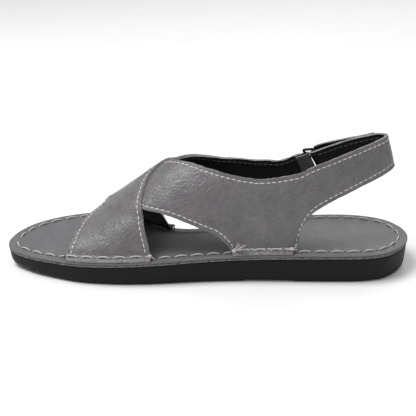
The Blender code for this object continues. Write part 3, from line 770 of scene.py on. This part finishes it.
# %% [markdown]
# Real leather is never even: it is pressed down along the stitch line, swells a little beside it, and rolls in
# soft waves where the foot bends. Those are moved into the grid before the sheet gets its thickness.

# %% Leather relief
STITCH_DENT, DENT_WIDTH = 0.28, 0.7
EDGE_SWELL, SWELL_INSET, SWELL_WIDTH = 0.12, 1.2, 0.6
WAVE_SIZE, WAVE_HEIGHT = 14.0, 0.3
CALM_EDGE, CALM_RUN = 2.5, 8.0
RIPPLE_SIZE, RIPPLE_HEIGHT, RIPPLE_RUN = 2.4, 0.22, 0.8


def grid_normals(points, sign):
    """Direction of the grid's surface at each of its points."""
    across = np.gradient(points, axis=1)
    along = np.gradient(points, axis=0)
    return sign * unit(np.cross(across, along))


def bumps(points, size):
    """Noise at each point of a grid, its bumps about size millimetres across."""
    return np.array([[noise.noise(Vector(point) / size) for point in row] for row in points])


def relief(points, edges, sign):
    """The points moved by a dent at the stitches, a swell and ripples beside it and waves, and their directions."""
    dent = -STITCH_DENT * np.exp(-(((edges - STITCH_INSET) / DENT_WIDTH) ** 2))
    swell = EDGE_SWELL * np.exp(-(((edges - SWELL_INSET) / SWELL_WIDTH) ** 2))
    waves = WAVE_HEIGHT * bumps(points, WAVE_SIZE) * ease((edges - CALM_EDGE) / CALM_RUN)
    band = ease(edges / RIPPLE_RUN) * ease((STITCH_INSET - edges) / RIPPLE_RUN)
    ripples = RIPPLE_HEIGHT * bumps(points, RIPPLE_SIZE) * band
    points = points + (dent + swell + waves + ripples)[..., None] * grid_normals(points, sign)
    return points, grid_normals(points, sign)


over_points, over_normals = relief(np.array(over_rows), np.array(over_edges), 1.0)
under_points, under_normals = relief(np.array(under_rows), np.array(under_edges), -1.0)


# %% Strap objects
EDGE_SEGMENTS, EDGE_ANGLE = 2, math.radians(55)
STRAP_ROUNDING = 0.45
LINING_OFFSET, STRAP_RIM_OFFSET = 1, 3


def thickened(made, thickness, rim_offset, rounding):
    """Gives a sheet its thickness, half of it on each side, and rounds its cut edges."""
    solid = made.modifiers.new("thickness", "SOLIDIFY")
    solid.thickness = thickness * MM
    solid.offset = 0.0
    solid.material_offset_rim = rim_offset
    rounded = made.modifiers.new("edges", "BEVEL")
    rounded.width = rounding * MM
    rounded.segments = EDGE_SEGMENTS
    rounded.limit_method = "ANGLE"
    rounded.angle_limit = EDGE_ANGLE
    return solid


def strap_object(name, points, places, sign, outer_end, return_row=None):
    """The strap's sheet with the tongue of its second base. Its slots are leather, lining, leather, edge, edge."""
    count, columns = points.shape[:2]
    flat = [tuple(point) for row in points for point in row]
    faces, slots = [], []
    for i in range(count - 1):
        for k in range(columns - 1):
            a = i * columns + k
            faces.append((a, a + 1, a + columns + 1, a + columns)[::sign])
            slots.append(int(return_row is not None and i >= return_row + FOLD_STEPS // 2))
    tongue = []
    for i, place in enumerate(places):
        if FIRST_BASE_ROW <= place <= LAST_BASE_ROW:
            base = points[i, 0]
            edge = flange_point(base, outer_end)
            tongue.append((i * columns, len(flat), len(flat) + 1))
            flat += [tuple(0.5 * (base + edge)), tuple(edge)]
    for one, other in zip(tongue, tongue[1:]):
        for a, b in ((0, 1), (1, 2)):
            faces.append((one[b], one[a], other[a], other[b])[::sign])
            slots.append(0)
    made = make_object(name, flat, faces, [strap_leather, lining_leather, strap_leather, raw_edge, raw_edge])
    tips = list(range(columns)) + [edge for _, _, edge in tongue]
    group = made.vertex_groups.new(name="thinned_tips")
    group.add(list(range(len(flat))), 1.0, "REPLACE")
    group.add(tips, 0.0, "REPLACE")
    made.data.polygons.foreach_set("material_index", slots)
    solid = thickened(made, STRAP_WALL, STRAP_RIM_OFFSET, STRAP_ROUNDING)
    solid.vertex_group = group.name
    solid.thickness_vertex_group = TONGUE_THIN
    solid.material_offset = LINING_OFFSET
    return made


over_strap = strap_object("over_strap", over_points, over_places, 1, False)
under_strap = strap_object("under_strap", under_points, under_places, -1, True, first_return_row)
for piece in (over_strap, under_strap):
    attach(piece, "root")
    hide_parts("upper")
    print(piece.name, len(piece.data.polygons), "faces")

# %% [markdown]
# ## Ring and tab
# The ring is a bent wire. Its rear bar lies in the sling's fold, its front bar in a small leather tab that folds
# over the end of the inner quarter, one leaf inside and one outside.

# %% Tubes
STEEP = 0.8


def tube(path, radii, sides, closed=False):
    """Points and faces of a round tube along a path, its ends closed by caps."""
    path = np.asarray(path, float)
    ahead = np.roll(path, -1, axis=0) - np.roll(path, 1, axis=0)
    if not closed:
        ahead[0], ahead[-1] = path[1] - path[0], path[-1] - path[-2]
    ahead = unit(ahead)
    helper = np.array((0.0, 0.0, 1.0)) if abs(ahead[0, 2]) < STEEP else np.array((0.0, 1.0, 0.0))
    side = unit(np.cross(ahead[0], helper))
    points = []
    radii = np.broadcast_to(radii, len(path))
    turns = 2 * np.pi * np.arange(sides) / sides
    for place, direction, radius in zip(path, ahead, radii):
        side = unit(side - direction * (side @ direction))
        other = np.cross(direction, side)
        points += [place + radius * (math.cos(t) * side + math.sin(t) * other) for t in turns]
    faces = []
    rounds = len(path) if closed else len(path) - 1
    for i in range(rounds):
        here, there = i * sides, (i + 1) % len(path) * sides
        for k in range(sides):
            m = (k + 1) % sides
            faces.append((here + k, here + m, there + m, there + k))
    if not closed:
        faces.append(tuple(range(sides))[::-1])
        faces.append(tuple(range((len(path) - 1) * sides, len(path) * sides)))
    return points, faces


def many(parts):
    """Several (points, faces) joined into one."""
    points, faces = [], []
    for more_points, more_faces in parts:
        start = len(points)
        points += [tuple(point) for point in more_points]
        faces += [tuple(start + i for i in face) for face in more_faces]
    return points, faces


# %% Ring
# The wire's radius, the room beside the leather, and the length of a corner's bend.
RING_WIRE, RING_SIDE_GAP, RING_BEND = 0.85, 0.2, 0.8
RING_SIDES, BEND_POINTS = 14, 7
# Front of the tab's fold, as a row of a strap table.
TAB_END = (66.7, 161.8, 61.2, 150.0)

low, high = section(UNDER_STRAP[-1], (0.0, 1.0), sling_offset)
half = np.linalg.norm(high - low) / 2 + RING_SIDE_GAP + RING_WIRE
tab_low, tab_high = section(TAB_END, (0.0, 1.0))
slant = unit(tab_high - tab_low)
ring_front = (tab_low + tab_high) / 2
ring_corners = [
    ring_rear - half * ring_up, ring_rear + half * ring_up, ring_front + half * slant, ring_front - half * slant
]
wire = []
for i, corner in enumerate(ring_corners):
    before = corner + RING_BEND * unit(ring_corners[i - 1] - corner)
    after = corner + RING_BEND * unit(ring_corners[(i + 1) % 4] - corner)
    for t in np.linspace(0.0, 1.0, BEND_POINTS):
        wire.append((1 - t) ** 2 * before + 2 * t * (1 - t) * corner + t**2 * after)
ring = make_object("closure_ring_wire", *tube(wire, RING_WIRE, RING_SIDES, closed=True), [ring_metal])
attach(ring, "root")
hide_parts("closure_ring")
print("ring wire points", len(wire))

# %% Tab
TAB_THICK, TAB_REACH, TAB_RISE = 1.2, 5.0, 1.6
TAB_COLUMNS, TAB_ROWS, TAB_FOLD = 12, 12, 10
TAB_ROUNDING, TAB_RIM_OFFSET = 0.3, 2
tab_radius = (STRAP_WALL + TAB_THICK) / 2 + GAP
tab_start = np.array(TAB_END) - (TAB_REACH, -TAB_RISE, TAB_REACH, -TAB_RISE)


def tab_leaf(away):
    """Rows of one leaf, away from the quarter's middle, from its free end to the fold."""
    shares = np.linspace(0.0, 1.0, TAB_COLUMNS)
    rows = np.linspace(tab_start, TAB_END, TAB_ROWS)
    return [section(row, shares, lambda s, turn: np.full_like(s, away)) for row in rows]


inner_leaf, outer_leaf = tab_leaf(-tab_radius), tab_leaf(tab_radius)
middle = 0.5 * (inner_leaf[-1] + outer_leaf[-1])
fold = []
for angle in np.pi * np.arange(1, TAB_FOLD) / TAB_FOLD:
    fold.append(middle + math.cos(angle) * (inner_leaf[-1] - middle) - tab_radius * math.sin(angle) * sling_forward)
tab_points = np.array([*inner_leaf, *fold, *outer_leaf[::-1]])
faces = []
for i in range(len(tab_points) - 1):
    for k in range(TAB_COLUMNS - 1):
        a = i * TAB_COLUMNS + k
        faces.append((a, a + TAB_COLUMNS, a + TAB_COLUMNS + 1, a + 1))
tab = make_object("ring_tab_leather", tab_points, faces, [tab_leather, tab_leather, raw_edge])
thickened(tab, TAB_THICK, TAB_RIM_OFFSET, TAB_ROUNDING)
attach(tab, "root")
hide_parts("ring_tab")

# %% [markdown]
# ## Machine stitches
# Each strap edge has a row of lockstitches 2.7 mm in, about 3.5 mm from one to the next. Each stitch is a short
# tube that dips at both ends. All stitches of one colour are one joined mesh.

# %% Stitch rows
# A machine stitch: pitch, length, radius, rise, sides, points along it, and where its row starts.
MACHINE_STITCH = (3.5, 2.95, 0.33, 0.3, 6, 5, 1.0)
# A stitch's arc: how full it is, how far its ends are sunk, and how thin and how blunt they are.
ARC_FULLNESS, END_SINK, END_RADIUS, END_BLUNTNESS = 0.7, 0.5, 0.55, 0.5
FIRST_STITCHED_ROW = 7


def along_path(path):
    """The path as a function of length, and its whole length."""
    lengths = np.concatenate([[0.0], np.cumsum(np.linalg.norm(np.diff(path, axis=0), axis=1))])

    def at(distance, values=path):
        return np.stack([np.interp(distance, lengths, values[:, k]) for k in range(3)], -1)

    return at, lengths[-1]


def stitch_row(path, normals, pitch, length, radius, rise, sides, steps, start):
    """Stitches along a path on a surface, each an arc that leaves and enters the leather."""
    at, total = along_path(path)
    found = []
    first = start
    while first + length < total:
        distances = np.linspace(first, first + length, steps)
        shares = np.linspace(0.0, 1.0, steps)
        lift = rise * np.sin(np.pi * shares) ** ARC_FULLNESS - END_SINK * radius
        places = at(distances) + lift[:, None] * unit(at(distances, normals))
        radii = radius * (END_RADIUS + (1 - END_RADIUS) * np.sin(np.pi * shares) ** END_BLUNTNESS)
        found.append(tube(places, radii, sides))
        first += pitch
    return found


def machine_rows(points, normals, first_row, last_row, height):
    """Both edge rows of a strap, on the face that lies height from its middle."""
    found = []
    for column in (STITCH_COLUMN, points.shape[1] - 1 - STITCH_COLUMN):
        outward = normals[first_row:last_row, column]
        path = points[first_row:last_row, column] + height * outward
        found += stitch_row(path, np.sign(height) * outward, *MACHINE_STITCH)
    return found


def strap_rows(height):
    """The edge rows of both straps on one face."""
    found = machine_rows(over_points, over_normals, FIRST_STITCHED_ROW, len(over_points), height)
    return found + machine_rows(under_points, under_normals, FIRST_STITCHED_ROW, first_return_row, height)


face = STRAP_WALL / 2
outside = strap_rows(face)
outside += machine_rows(under_points, under_normals, first_return_row + FOLD_STEPS, len(under_points), -face)
machine_stitches = make_object("machine_stitches", *many(outside), [thread])
inside = strap_rows(-face)
lining_stitches = make_object("lining_stitches", *many(inside), [lining_thread])
for piece in (machine_stitches, lining_stitches):
    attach(piece, "root")
print("machine stitches", len(outside), "and", len(inside), "inside")

# %% [markdown]
# ## Hand stitches
# A thick waxed thread runs round the whole sole, through the footbed and the tongues of the straps, in stitches
# about 8 mm long. Each one bows up between its two holes.

# %% Hand stitches
HAND_PITCH, HAND_LENGTH, HAND_START = 10.0, 8.2, 2.0
HAND_STITCH = (HAND_PITCH, HAND_LENGTH, 0.5, 1.2, 10, 13, HAND_START)
HAND_INSET, FLANGE_INSET, HAND_STATIONS = 5.8, 3.4, 240
# How deep the line lies in the footbed and in a tongue.
FOOTBED_SINK, TONGUE_SINK = 0.25, 0.05
# How far before a tongue the line starts to climb, and how long it climbs.
CLIMB_LEAD, CLIMB_RUN = 1.0, 1.5
# Spans of the strap tongues on the sole's edge: outer side or not, first x, last x.
TONGUES = ((True, -86.5, -34.5), (True, 15.5, 51.2), (False, -72.5, -22.5), (False, 18.0, 51.0))


def on_tongue(x, outer):
    """1 on a tongue and 0 off it, with short soft ends."""
    found = 0.0
    for side, first, last in TONGUES:
        if side == outer:
            start, stop = (x - first + CLIMB_LEAD) / CLIMB_RUN, (last + CLIMB_LEAD - x) / CLIMB_RUN
            found = max(found, float(ease(start) * ease(stop)))
    return found


def hand_path():
    """Closed line of the hand stitches, a little in from the sole's edge."""
    xs = stations(HAND_STATIONS)
    found = []
    for i, (edge, one) in enumerate(zip(ring_points(xs, 0.0), ring_points(xs, HAND_INSET))):
        outer = i < len(xs)
        other = edge + (0.0, FLANGE_INSET if outer else -FLANGE_INSET)
        share = on_tongue(one[0], outer)
        x, y = one + share * (other - one)
        low = footbed_top_z(x) - FOOTBED_SINK
        found.append((x, y, low + share * (flange_z(x) + STRAP_WALL / 2 - TONGUE_SINK - low)))
    return np.array([*found, found[0]])


path = hand_path()
up = np.tile((0.0, 0.0, 1.0), (len(path), 1))
hand = stitch_row(path, up, *HAND_STITCH)
hand_stitches = make_object("hand_stitches", *many(hand), [hand_thread])
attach(hand_stitches, "root")
print("hand stitches", len(hand))

# %% Stitch holes, painted shade
# Each hand stitch's two ends get a small dark plug at the stitch line: painted shade where the holes would be.
HOLE_SIDES, HOLE_OFFSET = 10, 0.1
# A hole's rim and its narrower bottom: radius and height from the line.
HOLE_RIM, HOLE_BOTTOM = (0.6, 0.12), (0.42, -0.4)


def circle(centre, radius, height):
    """Points round a level circle above a centre."""
    turns = 2 * np.pi * np.arange(HOLE_SIDES) / HOLE_SIDES
    return [centre + (radius * math.cos(t), radius * math.sin(t), height) for t in turns]


hole_at, hole_total = along_path(path)
hole_shade_discs = []
hole_faces = []
for k in range(HOLE_SIDES):
    m = (k + 1) % HOLE_SIDES
    hole_faces.append((k, m, HOLE_SIDES + m, HOLE_SIDES + k))
hole_faces += [tuple(range(HOLE_SIDES))[::-1], tuple(range(HOLE_SIDES, 2 * HOLE_SIDES))]
first = HAND_START
while first + HAND_LENGTH < hole_total:
    for distance in (first - HOLE_OFFSET, first + HAND_LENGTH + HOLE_OFFSET):
        centre = hole_at(distance)
        hole_shade_discs.append(([*circle(centre, *HOLE_RIM), *circle(centre, *HOLE_BOTTOM)], hole_faces))
    first += HAND_PITCH
painted_hole_shades = make_object("painted_hole_shades", *many(hole_shade_discs), [painted_hole_shade])
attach(painted_hole_shades, "root")

# %% [markdown]
# ## Loose thread ends
# Where a row of hand stitches starts or ends, the maker left the thread ends: a frayed tuft at the front corner of
# the under strap's base, and small knots at the other corners. A seeded random bends each strand.

# %% Tufts and knots
STRAND_SIDES, STRAND_POINTS, STRAND_TAPER = 6, 7, 0.55
KNOT_TILTS, KNOT_FLATNESS, KNOT_THREAD, KNOT_SIDES, KNOT_POINTS = (0.2, 1.3, 2.3), 0.75, 0.45, 7, 12
# The frayed tuft: x, y, rise from the tongue's middle, knot's radius.
TUFT = (16.5, -37.6, 1.6, 1.2)
TUFT_STRANDS, TUFT_LENGTHS, TUFT_RADIUS, TUFT_BEND = 9, (5.5, 10.0), 0.3, 1.8
# Other knots: x, y, rise, radius, and each loose end's direction, length, radius, bend.
KNOTS = (
    ((51.5, -36.9, 1.6, 1.1), (((0.8, -0.3, 0.5), 3.2, 0.35, 0.8), ((0.9, -0.5, 0.1), 3.2, 0.35, 0.8))),
    ((-35.0, -40.6, 1.3, 1.0), (((0.8, -0.5, -0.2), 3.4, 0.35, 0.8),)),
    ((-22.5, 6.6, 1.2, 0.8), (((0.9, -0.3, 0.2), 2.4, 0.3, 0.5),)),
)
dice = random.Random(4)


def strand(start, direction, length, radius, bend):
    """A bent thread end."""
    start, direction = np.array(start, float), unit(np.array(direction, float))
    sag = np.array([dice.uniform(-bend, bend) for _ in range(3)])
    steps = np.linspace(0.0, 1.0, STRAND_POINTS)
    places = [start + direction * length * t + sag * t * t for t in steps]
    return tube(places, radius * (1 - STRAND_TAPER * steps), STRAND_SIDES)


def knot(centre, radius):
    """A small knot: a few turns of thread wound on themselves."""
    found = []
    turns = np.linspace(0.0, 2 * np.pi, KNOT_POINTS + 1)[:-1]
    for tilt in KNOT_TILTS:
        across = np.array((0.0, math.cos(tilt), KNOT_FLATNESS * math.sin(tilt)))
        loop = [centre + radius * (np.array((math.cos(t), 0.0, 0.0)) + math.sin(t) * across) for t in turns]
        found.append(tube(loop, KNOT_THREAD, KNOT_SIDES, closed=True))
    return found


def on_tongue_top(x, y, rise):
    """A place above a tongue's middle."""
    return np.array((x, y, float(flange_z(x)) + rise))


*place, radius = TUFT
tuft_at = on_tongue_top(*place)
ends = []
for k in range(TUFT_STRANDS):
    direction = (0.35 + 0.11 * k, -0.4, 1.0 - 0.07 * k)
    ends.append(strand(tuft_at, direction, dice.uniform(*TUFT_LENGTHS), TUFT_RADIUS, TUFT_BEND))
ends += knot(tuft_at, radius)
for (*place, radius), strands in KNOTS:
    knot_at = on_tongue_top(*place)
    ends += knot(knot_at, radius)
    ends += [strand(knot_at, *values) for values in strands]
thread_ends = make_object("thread_ends", *many(ends), [hand_thread])
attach(thread_ends, "root")
print("thread ends", len(ends))
